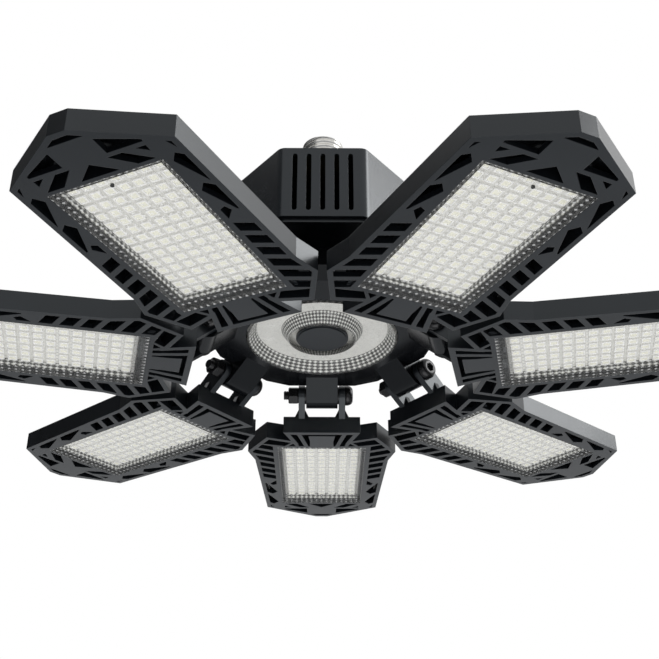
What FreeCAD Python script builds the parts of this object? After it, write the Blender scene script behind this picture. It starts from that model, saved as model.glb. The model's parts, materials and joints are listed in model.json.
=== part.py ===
"""Seven-wing folding ceiling lamp that screws into an Edison socket.

Millimetres. +Z is up. The origin is on the lamp's axis, in the plane of the lower rim of the
screw shell, so the whole lamp hangs below it. A wing is drawn along +X, with its width along Y,
and turned about Z to its place.
"""
import FreeCAD
import Part

import math
import os
from FreeCAD import Vector

# --- counts -------------------------------------------------------------------------------
WINGS = 7
FIRST_WING_AZIMUTH = 90.0

# --- heights ------------------------------------------------------------------------------
RING_FACE_Z = -122.5       # lower face of the round lens in the middle
PLATE_RISE = 1.5           # underside of the hub plate, above the ring face
PLATE_THICK = 10.0
NECK_HEIGHT = 38.7         # column between hub plate and driver housing
FLOOR_BAND = 2.6           # shadow gap under the housing walls
HOUSING_HEIGHT = 48.7
HINGE_DROP = 2.5           # hinge axis below the ring face
WING_DROP = 25.4           # light side of the wings below the ring face
WING_THICK = 11.0

# --- hub ----------------------------------------------------------------------------------
PLATE_APOTHEM = 65.0       # from the axis to the long edges, between two wings
PLATE_FLAT_R = 62.0        # from the axis to the short edges, behind each wing
NECK_R = 23.0
WIRE_BORE_R = 6.0
RIB_THICK = 4.0
RIB_RISE = 24.0
RING_POCKET_R = 44.4
RING_POCKET_DEPTH = 7.5
CAP_R = 15.3
CAP_RECESS = 1.3
CAP_THICK = 2.0
CAP_POST_R = 13.5
CAP_SPIGOT_LENGTH = 5.0
CAP_RIM = 1.2              # width of the step round the cap's face
CAP_RIM_DEPTH = 0.6

# --- ring lens and its board ---------------------------------------------------------------
RING_DRAFT = 4.0           # lean of the tray's walls towards its middle, from face to board
RING_OUTER_R = 44.0
RING_INNER_R = 18.4
RING_WALL = 1.8
RING_CHAMFER = 1.2
RING_BOARD_THICK = 1.6

# --- driver housing -----------------------------------------------------------------------
HOUSING_CORNER_R = 57.2    # from the axis to the corners before rounding
HOUSING_ROUND = 6.0
HOUSING_WALL = 2.4
HOUSING_TOP = 3.0
FLOOR_INSET = 2.4
FLOOR_STEP = 3.2
VENT_WIDTH = 2.9
VENT_PITCH = 8.1
VENT_COUNT = 5
VENT_END_SIDES = 6
VENT_MARGIN = 4.2
VENTED_SIDES = (0, 2, 5)   # counted round from the side that faces -Y
FLOOR_SCREW_R = 15.0       # circle of the screws that hold the floor to the neck
FLOOR_SCREW_COUNT = 3
FLOOR_SCREW_DEPTH = 9.0    # holes in the neck
SCREW_TIP_GAP = 1.0        # from a screw's tip to the bottom of its hole

# --- driver -------------------------------------------------------------------------------
POST_R = 3.2
POST_CIRCLE_R = 33.0
POST_HEIGHT = 6.0
POST_COUNT = 3
DRIVER_BOARD_R = 39.0
DRIVER_BOARD_THICK = 1.6
TRANSFORMER = (24.0, 20.0, 17.0)
CORE_OVERHANG = 2.0
CAPACITOR_R = 6.3
CAPACITOR_HEIGHT = 22.0
CAPACITOR_CHAMFER = 0.8
DRIVER_GAP = 2.0           # between neighbouring pieces on the driver board
CHOKE_R = 7.0
CHOKE_TUBE = 3.0

# --- collar and screw base ------------------------------------------------------------------
COLLAR_FLANGE_R = 18.0
COLLAR_FLANGE = 2.5
COLLAR_TOP_R = 14.2
SHELL_R = 13.0
SHELL_LENGTH = 20.0
SHELL_WALL = 0.6
SHOULDER_HEIGHT = 2.4
SHOULDER_R = 8.2
INSULATOR_HEIGHT = 2.2
CONTACT_R = 4.8
CONTACT_HEIGHT = 1.5
SPIGOT_LENGTH = 6.0

# --- hinge --------------------------------------------------------------------------------
LUG_WIDTH = 20.0
LUG_R = 8.4
LUG_ROOT = 13.0            # how far the lug's foot reaches in behind the short edge
EAR_THICK = 4.0
EAR_R = 6.3
EAR_FOOT = 16.0
GUSSET_HEIGHT = 5.6
GUSSET_SPREAD = 2.6
BOLT_R = 3.0
BOLT_HEAD = ((6.4, 0.0), (6.4, 1.6), (5.4, 3.5), (2.6, 4.8))   # radius, rise
BOLT_TAIL = 3.0
NUT_FLATS = 10.0
NUT_HEIGHT = 6.4
NUT_ROOM = 0.43            # from the plate's short edge to the nut's corner
WASHER_R = 5.6
WASHER_THICK = 0.8
TURN_CLEARANCE = 0.05      # radial, bolt to bore
SIDE_CLEARANCE = 0.1       # along the bolt, between parts that turn on each other

# --- wing outline, as half a width at each distance out from the inner edge -------------------
WING_SETBACK = 6.8         # from the hinge axis to the wing's inner edge
TONGUE_HALF = 24.6
NOTCH_OUT = 14.0
NOTCH_HALF = 19.8
CORNER_OUT = 8.0
CORNER_HALF = 35.6
SHOULDER_OUT = 31.5
SHOULDER_HALF = 49.0
FLANK_OUT = 46.6
FLANK_HALF = 45.0
TIP_OUT = 142.6
TIP_HALF = 41.0
WING_LENGTH = 164.0
NOSE_HALF = 4.4

# --- wing frame ---------------------------------------------------------------------------
RIM = 2.8
LATTICE_THICK = 3.0
BEZEL_OUT = 23.0           # inner end of the bezel, from the wing's inner edge
BEZEL_LENGTH = 111.7
BEZEL_HALF = 31.2
LENS_MARGIN = 2.2          # bezel face left round the lens
LENS_CLEARANCE = 0.15
LEDGE = 1.8                # lens seat beside and beyond the light well
HUB_LEDGE = 5.0            # lens seat between the light well and the hinge end
SKIRT = 1.2                # wall of the lens tray, from the lens to the board
SKIRT_CLEARANCE = 0.2
LENS_THICK = 2.2
LENS_CHAMFER = 0.5
SLOT_COUNT = 6
SLOT_PITCH = 10.56
SLOT_WIDTH = 7.0
SLOT_SLANT = 0.476         # run back towards the hub per millimetre outwards
TAPER_COUNT = 3
TAPER_PITCH = 21.6

# Openings of the light side beyond the bezel, as (out, half width) points, where out is a share of
# the way from the bezel to the nose. Those under MIDDLE lie across the wing's middle line; those
# under SIDE stand on both sides of it.
TIP_MIDDLE = (((0.0, -9.6), (0.27, 0.0), (0.0, 9.6)),
              ((0.80, -8.6), (0.92, -4.2), (0.92, 4.2), (0.80, 8.6)))
TIP_SIDE = (((0.0, 18.4), (0.29, 9.3), (0.29, 16.6), (0.0, 27.2)),
            ((0.16, 27.8), (0.29, 22.8), (0.29, 27.8)),
            ((0.37, 11.0), (0.70, 11.0), (0.42, 28.2), (0.37, 28.2)))
NOSE_BOSS_OUT = 0.58
# The same at the hinge end, where out is a share of the way from the bezel to the inner edge.
TONGUE_MIDDLE = (((0.85, -13.2), (0.85, 13.2), (0.74, 12.4), (0.02, 8.8), (0.02, 7.6), (0.39, 7.6),
                  (0.74, 8.6), (0.74, -8.6), (0.39, -7.6), (0.02, -7.6), (0.02, -8.8),
                  (0.74, -12.4)),)
TONGUE_SIDE = (((0.85, 16.0), (0.74, 15.3), (0.02, 11.5), (0.02, 15.0), (0.37, 16.6), (0.85, 20.2)),
               ((0.21, 18.6), (0.02, 17.0), (0.02, 22.2)),
               ((0.30, 19.6), (0.02, 24.4), (0.33, 50.0), (0.97, 50.0)))
# The slots between the slanted ones and the tip: the first one, then the one that repeats, as
# (out from the last slanted slot, out from the bezel's side) points.
FIRST_TAPER = ((-0.5, 1.0), (7.0, 1.0), (8.5, 4.0), (5.0, 5.6))
LATER_TAPER = ((4.0, 13.8), (4.5, 8.2), (22.0, 1.0), (26.5, 4.4), (18.5, 13.8))
SLOT_INSET = 1.0           # strip left beside the bezel by the slanted slots
DECK_THICK = 2.6
DECK_LENGTH = 20.4

# --- wing back ----------------------------------------------------------------------------
BACK_THICK = 1.5
BACK_CLEARANCE = 0.3
FIN_COUNT = 9
FIN_PITCH = 6.6
FIN_THICK = 1.4
FIN_HEIGHT = 1.8
FIN_END = 7.0              # from the bezel's ends to the fins
FIN_SINK = 0.2             # fins end this far below the frame's top
BOARD_THICK = 1.2
BOARD_CLEARANCE = 0.4
BOSS_R = 3.0
BOSS_INSET = 1.0           # from the bezel's ends
PEG_SIDES = 8              # flats round a small screw, its boss and its hole
SCREW_R = 1.2
SCREW_HEAD_R = 2.4
SCREW_HEAD_HEIGHT = 1.4
SCREW_LENGTH = 4.5

# --- values worked out from the sizes above ---------------------------------------------------
STEP = 360.0 / WINGS
NUT_CORNER = NUT_FLATS / 2 / math.cos(math.pi / 6)
HINGE_R = PLATE_FLAT_R + NUT_CORNER + NUT_ROOM   # from the lamp's axis to the hinge axis
WING_START = HINGE_R + WING_SETBACK              # and to the wings' inner edges
PLATE_Z = RING_FACE_Z + PLATE_RISE
PLATE_TOP_Z = PLATE_Z + PLATE_THICK
FLOOR_Z = PLATE_TOP_Z + NECK_HEIGHT
HOUSING_Z = FLOOR_Z + FLOOR_BAND
HOUSING_TOP_Z = HOUSING_Z + HOUSING_HEIGHT
HINGE_Z = RING_FACE_Z - HINGE_DROP
WING_Z = RING_FACE_Z - WING_DROP
WING_TOP_Z = WING_Z + WING_THICK
EAR_INNER_Y = LUG_WIDTH / 2 + WASHER_THICK + SIDE_CLEARANCE
EAR_OUTER_Y = EAR_INNER_Y + EAR_THICK
BACK_Z = WING_TOP_Z - FIN_HEIGHT - BACK_THICK - FIN_SINK
BEZEL_U0 = WING_START + BEZEL_OUT
BEZEL_U1 = BEZEL_U0 + BEZEL_LENGTH
WING_END = WING_START + WING_LENGTH
POCKET_Z = PLATE_Z + RING_POCKET_DEPTH
DRIVER_BOARD_Z = HOUSING_Z + FLOOR_STEP + POST_HEIGHT


# --- helpers --------------------------------------------------------------------------------
def prism(points, z, height):
    """A flat polygon at height z, raised by height."""
    loop = [Vector(x, y, z) for x, y in points]
    face = Part.Face(Part.makePolygon(loop + loop[:1]))
    return face.extrude(Vector(0, 0, height))


def side_prism(points, y0, y1):
    """A polygon in the XZ plane, carried along Y from y0 to y1."""
    loop = [Vector(x, y0, z) for x, z in points]
    face = Part.Face(Part.makePolygon(loop + loop[:1]))
    return face.extrude(Vector(0, y1 - y0, 0))


def turned(points):
    """A profile of (radius, z) points turned once round the Z axis."""
    loop = [Vector(r, 0, z) for r, z in points]
    face = Part.Face(Part.makePolygon(loop + loop[:1]))
    return face.revolve(Vector(0, 0, 0), Vector(0, 0, 1), 360)


def disc(radius, z, height, x=0.0, y=0.0):
    return Part.makeCylinder(radius, height, Vector(x, y, z))


def peg(radius, z, height, x=0.0, y=0.0):
    """An upright bar with a few flats, each at radius from its middle, for the small fasteners."""
    corner = radius / math.cos(math.pi / PEG_SIDES)
    loop = polygon_round(PEG_SIDES, corner, 180.0 / PEG_SIDES)
    return prism([(x + px, y + py) for px, py in loop], z, height)


def ring(outer, inner, z, height):
    return disc(outer, z, height).cut(disc(inner, z, height))


def bar(radius, y0, y1, x, z):
    """A round bar along Y."""
    return Part.makeCylinder(radius, y1 - y0, Vector(x, y0, z), Vector(0, 1, 0))


def box(x0, x1, y0, y1, z0, z1):
    return Part.makeBox(x1 - x0, y1 - y0, z1 - z0, Vector(x0, y0, z0))


def spun(shape, degrees):
    copy = shape.copy()
    copy.rotate(Vector(0, 0, 0), Vector(0, 0, 1), degrees)
    return copy


def mirrored(points):
    return [(x, -y) for x, y in points]


def polygon_round(sides, corner_r, first):
    """Corners of a regular polygon, the first at angle first in degrees."""
    angles = [math.radians(first + i * 360.0 / sides) for i in range(sides)]
    return [(corner_r * math.cos(a), corner_r * math.sin(a)) for a in angles]


def circle_points(radius, count, first=0.0):
    return polygon_round(count, radius, first)


def tangent_point(centre, radius, outside, side):
    """Where a line from the point outside touches the circle, on the left (1) or right (-1)."""
    dx = outside[0] - centre[0]
    dz = outside[1] - centre[1]
    reach = math.hypot(dx, dz)
    angle = math.atan2(dz, dx) + side * math.acos(radius / reach)
    return centre[0] + radius * math.cos(angle), centre[1] + radius * math.sin(angle)


def one_solid(shape):
    """The single solid of a boolean result, with its flat faces joined."""
    solids = shape.removeSplitter().Solids
    if len(solids) != 1:
        raise ValueError("expected one solid, found %d" % len(solids))
    return solids[0]


def azimuth(index):
    return FIRST_WING_AZIMUTH + index * STEP


def export(shape, node):
    shape.exportStep("parts/%s.step" % node)


# --- hub --------------------------------------------------------------------------------------
def plate_outline():
    """Long edges between the wings and short edges behind them."""
    half_step = math.radians(STEP / 2)
    half_flat = (PLATE_APOTHEM - PLATE_FLAT_R * math.cos(half_step)) / math.sin(half_step)
    points = []
    for index in range(WINGS):
        a = math.radians(azimuth(index))
        for v in (-half_flat, half_flat):
            x = PLATE_FLAT_R * math.cos(a) - v * math.sin(a)
            y = PLATE_FLAT_R * math.sin(a) + v * math.cos(a)
            points.append((x, y))
    return points


def hinge_lug():
    """Knuckle that hangs from the plate's short edge and carries the hinge bolt."""
    centre = (HINGE_R, HINGE_Z)
    root = (PLATE_FLAT_R - LUG_ROOT, PLATE_Z + 1.0)
    brow = (PLATE_FLAT_R, PLATE_TOP_Z - 1.0)
    below = tangent_point(centre, LUG_R, root, 1)
    above = tangent_point(centre, LUG_R, brow, -1)
    web = side_prism([root, below, centre, above, brow, (root[0], brow[1])],
                     -LUG_WIDTH / 2, LUG_WIDTH / 2)
    return web.fuse(bar(LUG_R, -LUG_WIDTH / 2, LUG_WIDTH / 2, *centre))


def neck_rib():
    foot = PLATE_FLAT_R - 3.0
    inner = NECK_R - 1.0
    points = [(inner, PLATE_TOP_Z - 1.0), (foot, PLATE_TOP_Z - 1.0), (foot, PLATE_TOP_Z + 2.0),
              (inner, PLATE_TOP_Z + RIB_RISE)]
    return side_prism(points, -RIB_THICK / 2, RIB_THICK / 2)


def hinge_hub():
    """Cast plate with seven knuckles below, and the ribbed neck above."""
    body = prism(plate_outline(), PLATE_Z, PLATE_THICK)
    body = body.fuse(disc(NECK_R, PLATE_TOP_Z, NECK_HEIGHT))
    for index in range(WINGS):
        body = body.fuse([spun(hinge_lug(), azimuth(index)), spun(neck_rib(), azimuth(index))])
    pocket = disc(RING_POCKET_R, PLATE_Z, RING_POCKET_DEPTH)
    pocket = pocket.cut(disc(CAP_POST_R, PLATE_Z, RING_POCKET_DEPTH))
    recess = disc(CAP_POST_R, RING_FACE_Z, CAP_RECESS + CAP_THICK)
    body = body.cut([pocket, recess, disc(WIRE_BORE_R, PLATE_Z, PLATE_THICK + NECK_HEIGHT)])
    for index in range(WINGS):
        bore = bar(BOLT_R + TURN_CLEARANCE, -LUG_WIDTH, LUG_WIDTH, HINGE_R, HINGE_Z)
        body = body.cut(spun(bore, azimuth(index)))
    for x, y in circle_points(FLOOR_SCREW_R, FLOOR_SCREW_COUNT, FIRST_WING_AZIMUTH):
        body = body.cut(peg(SCREW_R + TURN_CLEARANCE, FLOOR_Z - FLOOR_SCREW_DEPTH,
                            FLOOR_SCREW_DEPTH, x, y))
    return one_solid(body)


def ring_lens():
    """Clear ring-shaped tray over the middle light, open upwards."""
    z0 = RING_FACE_Z
    z1 = POCKET_Z - RING_BOARD_THICK
    outer, inner, wall = RING_OUTER_R, RING_INNER_R, RING_WALL
    return turned([
        (inner, z0), (outer - RING_CHAMFER, z0), (outer, z0 + RING_CHAMFER), (outer, z1),
        (outer - wall - RING_DRAFT, z1), (outer - wall, z0 + wall), (inner + wall, z0 + wall),
        (inner + wall + RING_DRAFT, z1), (inner, z1)])


def ring_board():
    inner = CAP_POST_R + BOARD_CLEARANCE
    return ring(RING_OUTER_R, inner, POCKET_Z - RING_BOARD_THICK, RING_BOARD_THICK)


def centre_cap():
    """Round cover in the middle, plugged into the wire bore."""
    z = RING_FACE_Z + CAP_RECESS
    spigot = disc(WIRE_BORE_R - TURN_CLEARANCE, z + CAP_THICK, CAP_SPIGOT_LENGTH)
    rim = ring(CAP_R, CAP_R - CAP_RIM, z, CAP_RIM_DEPTH)
    return one_solid(disc(CAP_R, z, CAP_THICK).cut(rim).fuse(spigot))


# --- driver housing -----------------------------------------------------------------------------
def rounded_heptagon(corner_r, round_r, z, height):
    solid = prism(polygon_round(WINGS, corner_r, FIRST_WING_AZIMUTH), z, height)
    upright = [e for e in solid.Edges if abs(e.Vertexes[0].Z - e.Vertexes[1].Z) > height / 2]
    return solid.makeFillet(round_r, upright)


def vent_slot(apothem, y):
    """An upright slot through one side wall, its ends rounded by VENT_END_SIDES flats."""
    r = VENT_WIDTH / 2
    low = HOUSING_Z + VENT_MARGIN + r
    high = HOUSING_TOP_Z - VENT_MARGIN - r
    turns = [math.pi * i / VENT_END_SIDES for i in range(VENT_END_SIDES + 1)]
    loop = [(y + r * math.cos(t), high + r * math.sin(t)) for t in turns]
    loop += [(y - r * math.cos(t), low - r * math.sin(t)) for t in turns]
    inside = apothem - HOUSING_WALL * 2
    points = [Vector(inside, py, pz) for py, pz in loop]
    face = Part.Face(Part.makePolygon(points + points[:1]))
    return face.extrude(Vector(HOUSING_WALL * 4, 0, 0))


def driver_housing():
    """Seven-sided shell with upright vents, open below."""
    apothem = HOUSING_CORNER_R * math.cos(math.pi / WINGS)
    inner_corner = (apothem - HOUSING_WALL) / math.cos(math.pi / WINGS)
    body = rounded_heptagon(HOUSING_CORNER_R, HOUSING_ROUND, HOUSING_Z, HOUSING_HEIGHT)
    hollow = rounded_heptagon(inner_corner, HOUSING_ROUND - HOUSING_WALL, HOUSING_Z,
                              HOUSING_HEIGHT - HOUSING_TOP)
    vents = []
    for side in VENTED_SIDES:
        middle = FIRST_WING_AZIMUTH + 180 + side * STEP
        for i in range(VENT_COUNT):
            slot = vent_slot(apothem, (i - (VENT_COUNT - 1) / 2) * VENT_PITCH)
            vents.append(spun(slot, middle))
    bore = disc(WIRE_BORE_R, HOUSING_TOP_Z - HOUSING_TOP, HOUSING_TOP)
    return one_solid(body.cut([hollow, bore] + vents))


def housing_floor():
    """Closing plate, set in below the walls, with posts for the driver board."""
    apothem = HOUSING_CORNER_R * math.cos(math.pi / WINGS)
    inside = (apothem - HOUSING_WALL - BOARD_CLEARANCE) / math.cos(math.pi / WINGS)
    low = rounded_heptagon(HOUSING_CORNER_R - FLOOR_INSET, HOUSING_ROUND, FLOOR_Z, FLOOR_BAND)
    high = rounded_heptagon(inside, HOUSING_ROUND - HOUSING_WALL, HOUSING_Z, FLOOR_STEP)
    body = low.fuse(high)
    top = HOUSING_Z + FLOOR_STEP
    posts = circle_points(POST_CIRCLE_R, POST_COUNT, FIRST_WING_AZIMUTH)
    body = body.fuse([peg(POST_R, top, POST_HEIGHT, x, y) for x, y in posts])
    holes = [disc(WIRE_BORE_R, FLOOR_Z, FLOOR_BAND + FLOOR_STEP)]
    for x, y in posts:
        holes.append(peg(SCREW_R + TURN_CLEARANCE, DRIVER_BOARD_Z - SCREW_LENGTH,
                         SCREW_LENGTH, x, y))
    for x, y in circle_points(FLOOR_SCREW_R, FLOOR_SCREW_COUNT, FIRST_WING_AZIMUTH):
        holes.append(peg(SCREW_R + TURN_CLEARANCE, FLOOR_Z, FLOOR_BAND + FLOOR_STEP, x, y))
    return one_solid(body.cut(holes))


def screw(x, y, seat_z, length):
    """A pan-head screw with its head above seat_z."""
    head = peg(SCREW_HEAD_R, seat_z, SCREW_HEAD_HEIGHT, x, y)
    return one_solid(head.fuse(peg(SCREW_R, seat_z - length, length, x, y)))


def floor_screws():
    seat = HOUSING_Z + FLOOR_STEP
    length = FLOOR_STEP + FLOOR_BAND + FLOOR_SCREW_DEPTH - SCREW_TIP_GAP
    places = circle_points(FLOOR_SCREW_R, FLOOR_SCREW_COUNT, FIRST_WING_AZIMUTH)
    return Part.makeCompound([screw(x, y, seat, length) for x, y in places])


# --- driver -----------------------------------------------------------------------------------
def driver_board():
    body = disc(DRIVER_BOARD_R, DRIVER_BOARD_Z, DRIVER_BOARD_THICK)
    places = circle_points(POST_CIRCLE_R, POST_COUNT, FIRST_WING_AZIMUTH)
    holes = [peg(SCREW_R + TURN_CLEARANCE, DRIVER_BOARD_Z, DRIVER_BOARD_THICK, x, y)
             for x, y in places]
    return one_solid(body.cut(holes))


def board_screws():
    seat = DRIVER_BOARD_Z + DRIVER_BOARD_THICK
    places = circle_points(POST_CIRCLE_R, POST_COUNT, FIRST_WING_AZIMUTH)
    return Part.makeCompound([screw(x, y, seat, SCREW_LENGTH) for x, y in places])


def driver_transformer():
    """Wound block with its core showing at both ends."""
    length, width, height = TRANSFORMER
    z = DRIVER_BOARD_Z + DRIVER_BOARD_THICK
    x = -length / 2
    coil = box(x, -x, -width / 2, width / 2, z, z + height)
    core = box(x + length / 4, -x - length / 4, -width / 2 - CORE_OVERHANG,
               width / 2 + CORE_OVERHANG, z, z + height - CORE_OVERHANG)
    return one_solid(coil.fuse(core))


def driver_capacitors():
    z = DRIVER_BOARD_Z + DRIVER_BOARD_THICK
    x = TRANSFORMER[0] / 2 + CAPACITOR_R + DRIVER_GAP
    shoulder = z + CAPACITOR_HEIGHT - CAPACITOR_CHAMFER
    can = turned([(0, z), (CAPACITOR_R, z), (CAPACITOR_R, shoulder),
                  (CAPACITOR_R - CAPACITOR_CHAMFER, z + CAPACITOR_HEIGHT),
                  (0, z + CAPACITOR_HEIGHT)])
    cans = []
    for side in (1, -1):
        copy = can.copy()
        copy.translate(Vector(x, side * (CAPACITOR_R + DRIVER_GAP / 2), 0))
        cans.append(copy)
    return Part.makeCompound(cans)


def driver_choke():
    """Wound ring lying on the board."""
    z = DRIVER_BOARD_Z + DRIVER_BOARD_THICK
    choke = ring(CHOKE_R + CHOKE_TUBE, CHOKE_R - CHOKE_TUBE, z, 2 * CHOKE_TUBE)
    choke.translate(Vector(-TRANSFORMER[0] / 2 - CHOKE_R - CHOKE_TUBE - DRIVER_GAP, 0, 0))
    return choke


# --- collar and screw base ----------------------------------------------------------------------
def collar():
    """Insulating neck between the housing and the metal screw shell."""
    z = HOUSING_TOP_Z
    bore = WIRE_BORE_R
    return turned([
        (bore, z), (COLLAR_FLANGE_R, z), (COLLAR_FLANGE_R, z + COLLAR_FLANGE),
        (COLLAR_TOP_R + 1.2, z + COLLAR_FLANGE + 2.0), (COLLAR_TOP_R, 0),
        (SHELL_R - SHELL_WALL, 0), (SHELL_R - SHELL_WALL, SPIGOT_LENGTH),
        (bore, SPIGOT_LENGTH)])


def screw_shell():
    """Rolled metal cup, drawn without its thread."""
    wall = SHELL_WALL
    top = SHELL_LENGTH + SHOULDER_HEIGHT
    return turned([
        (SHELL_R - wall, 0), (SHELL_R, 0), (SHELL_R, SHELL_LENGTH), (SHOULDER_R, top),
        (SHOULDER_R - 2.0, top), (SHOULDER_R - 2.0, top - wall), (SHELL_R - wall, SHELL_LENGTH - wall)])


def shell_insulator():
    z = SHELL_LENGTH + SHOULDER_HEIGHT
    return turned([(0, z), (SHOULDER_R, z), (CONTACT_R, z + INSULATOR_HEIGHT),
                   (0, z + INSULATOR_HEIGHT)])


def centre_contact():
    z = SHELL_LENGTH + SHOULDER_HEIGHT + INSULATOR_HEIGHT
    return turned([(0, z), (CONTACT_R, z), (CONTACT_R * 0.7, z + CONTACT_HEIGHT),
                   (0, z + CONTACT_HEIGHT)])


# --- hinge hardware -----------------------------------------------------------------------------
def hinge_bolt():
    """Domed bolt; its head is on the -Y side of the wing and its tail shows beyond the nut."""
    seat = EAR_OUTER_Y + SIDE_CLEARANCE
    tail = seat + NUT_HEIGHT + BOLT_TAIL
    shank = bar(BOLT_R, -seat, tail, HINGE_R, HINGE_Z)
    profile = BOLT_HEAD + ((0.0, BOLT_HEAD[-1][1]), (0.0, 0.0))
    loop = [Vector(HINGE_R + r, -seat - rise, HINGE_Z) for r, rise in profile]
    face = Part.Face(Part.makePolygon(loop + loop[:1]))
    head = face.revolve(Vector(HINGE_R, 0, HINGE_Z), Vector(0, 1, 0), 360)
    return one_solid(shank.fuse(head))


def hinge_nut():
    y0 = EAR_OUTER_Y + SIDE_CLEARANCE
    hexagon = [(HINGE_R + x, HINGE_Z + z) for x, z in polygon_round(6, NUT_CORNER, 0)]
    nut = side_prism(hexagon, y0, y0 + NUT_HEIGHT)
    return one_solid(nut.cut(bar(BOLT_R, y0, y0 + NUT_HEIGHT, HINGE_R, HINGE_Z)))


def hinge_washer(y0):
    hole = bar(BOLT_R + TURN_CLEARANCE, y0, y0 + WASHER_THICK, HINGE_R, HINGE_Z)
    return bar(WASHER_R, y0, y0 + WASHER_THICK, HINGE_R, HINGE_Z).cut(hole)


def round_the_hub(shapes):
    """Copies of the shapes at every wing, as one group of solids."""
    return Part.makeCompound([spun(s, azimuth(i)) for i in range(WINGS) for s in shapes])


# --- wing ---------------------------------------------------------------------------------------
def half_outline():
    """Upper half of the wing's outline, from the inner edge to the nose."""
    steps = ((0.0, TONGUE_HALF), (NOTCH_OUT, NOTCH_HALF), (CORNER_OUT, CORNER_HALF),
             (SHOULDER_OUT, SHOULDER_HALF), (FLANK_OUT, FLANK_HALF), (TIP_OUT, TIP_HALF),
             (WING_LENGTH, NOSE_HALF))
    return [(WING_START + out, half) for out, half in steps]


def wing_outline():
    half = half_outline()
    return half + mirrored(half)[::-1]


def drawn_in(points, inset):
    """The clockwise polygon with every edge moved inwards by inset and its corners kept sharp."""
    moved = []
    for i, (x, y) in enumerate(points):
        before = points[i - 1]
        after = points[(i + 1) % len(points)]
        arrive = math.atan2(y - before[1], x - before[0])
        leave = math.atan2(after[1] - y, after[0] - x)
        half_turn = (leave - arrive) / 2
        reach = inset / math.cos(half_turn)
        inwards = arrive + half_turn - math.pi / 2
        moved.append((x + reach * math.cos(inwards), y + reach * math.sin(inwards)))
    return moved


def wing_prism(z, height, inset=0.0):
    return prism(drawn_in(wing_outline(), inset), z, height)


def side_slots():
    """Slanted slots beside the bezel, as polygons that run out past the rim."""
    inner = BEZEL_HALF + SLOT_INSET
    outer = SHOULDER_HALF + RIM
    run = (outer - inner) * SLOT_SLANT
    slots = []
    for i in range(SLOT_COUNT):
        u = BEZEL_U0 + i * SLOT_PITCH
        slots.append([(u, inner), (u + SLOT_WIDTH, inner), (u + SLOT_WIDTH - run, outer),
                      (u - run, outer)])
    return slots


def tapered_slots():
    """Long three-cornered slots between the slanted ones and the tip."""
    start = BEZEL_U0 + SLOT_COUNT * SLOT_PITCH
    slots = [[(start + out, BEZEL_HALF + half) for out, half in FIRST_TAPER]]
    for i in range(TAPER_COUNT):
        u = start + i * TAPER_PITCH
        slots.append([(u + out, BEZEL_HALF + half) for out, half in LATER_TAPER])
    return slots


def windows(loops, start, end):
    """Openings given as shares of the way from start, an end of the bezel, to the wing's end."""
    return [[(start + out * (end - start), half) for out, half in loop] for loop in loops]


def lattice_cutters():
    """Every opening in the light side of the frame, held inside the rim and outside the bezel."""
    tip = (BEZEL_U1, WING_END)
    tongue = (BEZEL_U0, WING_START)
    middle = windows(TIP_MIDDLE, *tip) + windows(TONGUE_MIDDLE, *tongue)
    one_side = side_slots() + tapered_slots()
    one_side += windows(TIP_SIDE, *tip) + windows(TONGUE_SIDE, *tongue)
    loops = middle + one_side + [mirrored(p) for p in one_side]
    z = WING_Z
    field = wing_prism(z, LATTICE_THICK, RIM)
    return [prism(loop, z, LATTICE_THICK).common(field) for loop in loops]


def boss_places():
    """Screw bosses: two at the hinge end, two at the tip, one in the nose."""
    y = BEZEL_HALF
    ends = (BEZEL_U0 + BOSS_INSET, BEZEL_U1 - BOSS_INSET)
    places = [(u, side * y) for u in ends for side in (1, -1)]
    return places + [(BEZEL_U1 + NOSE_BOSS_OUT * (WING_END - BEZEL_U1), 0.0)]


def wing_ear(side):
    """One ear of the wing's clevis, with a flared foot."""
    centre = (HINGE_R, HINGE_Z)
    foot_z = WING_TOP_Z - DECK_THICK / 2
    near = (WING_START, foot_z)
    far = (WING_START + EAR_FOOT, foot_z)
    far_top = (far[0], WING_TOP_Z)
    left = tangent_point(centre, EAR_R, near, -1)
    right = tangent_point(centre, EAR_R, far_top, 1)
    plate = side_prism([near, left, centre, right, far_top, far], EAR_INNER_Y, EAR_OUTER_Y)
    plate = plate.fuse(bar(EAR_R, EAR_INNER_Y, EAR_OUTER_Y, *centre))
    low, high = EAR_INNER_Y - GUSSET_SPREAD, EAR_OUTER_Y + GUSSET_SPREAD
    top = WING_TOP_Z + GUSSET_HEIGHT
    loop = [Vector(WING_START + 1.0, y, z) for y, z in (
        (low, foot_z), (high, foot_z), (high, WING_TOP_Z), (EAR_OUTER_Y, top),
        (EAR_INNER_Y, top), (low, WING_TOP_Z))]
    gusset = Part.Face(Part.makePolygon(loop + loop[:1])).extrude(Vector(3.0, 0, 0))
    ear = plate.fuse(gusset)
    ear = ear.cut(bar(BOLT_R + TURN_CLEARANCE, 0, EAR_OUTER_Y * 2, *centre))
    if side < 0:
        ear = ear.mirror(Vector(0, 0, 0), Vector(0, 1, 0))
    return ear


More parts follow.
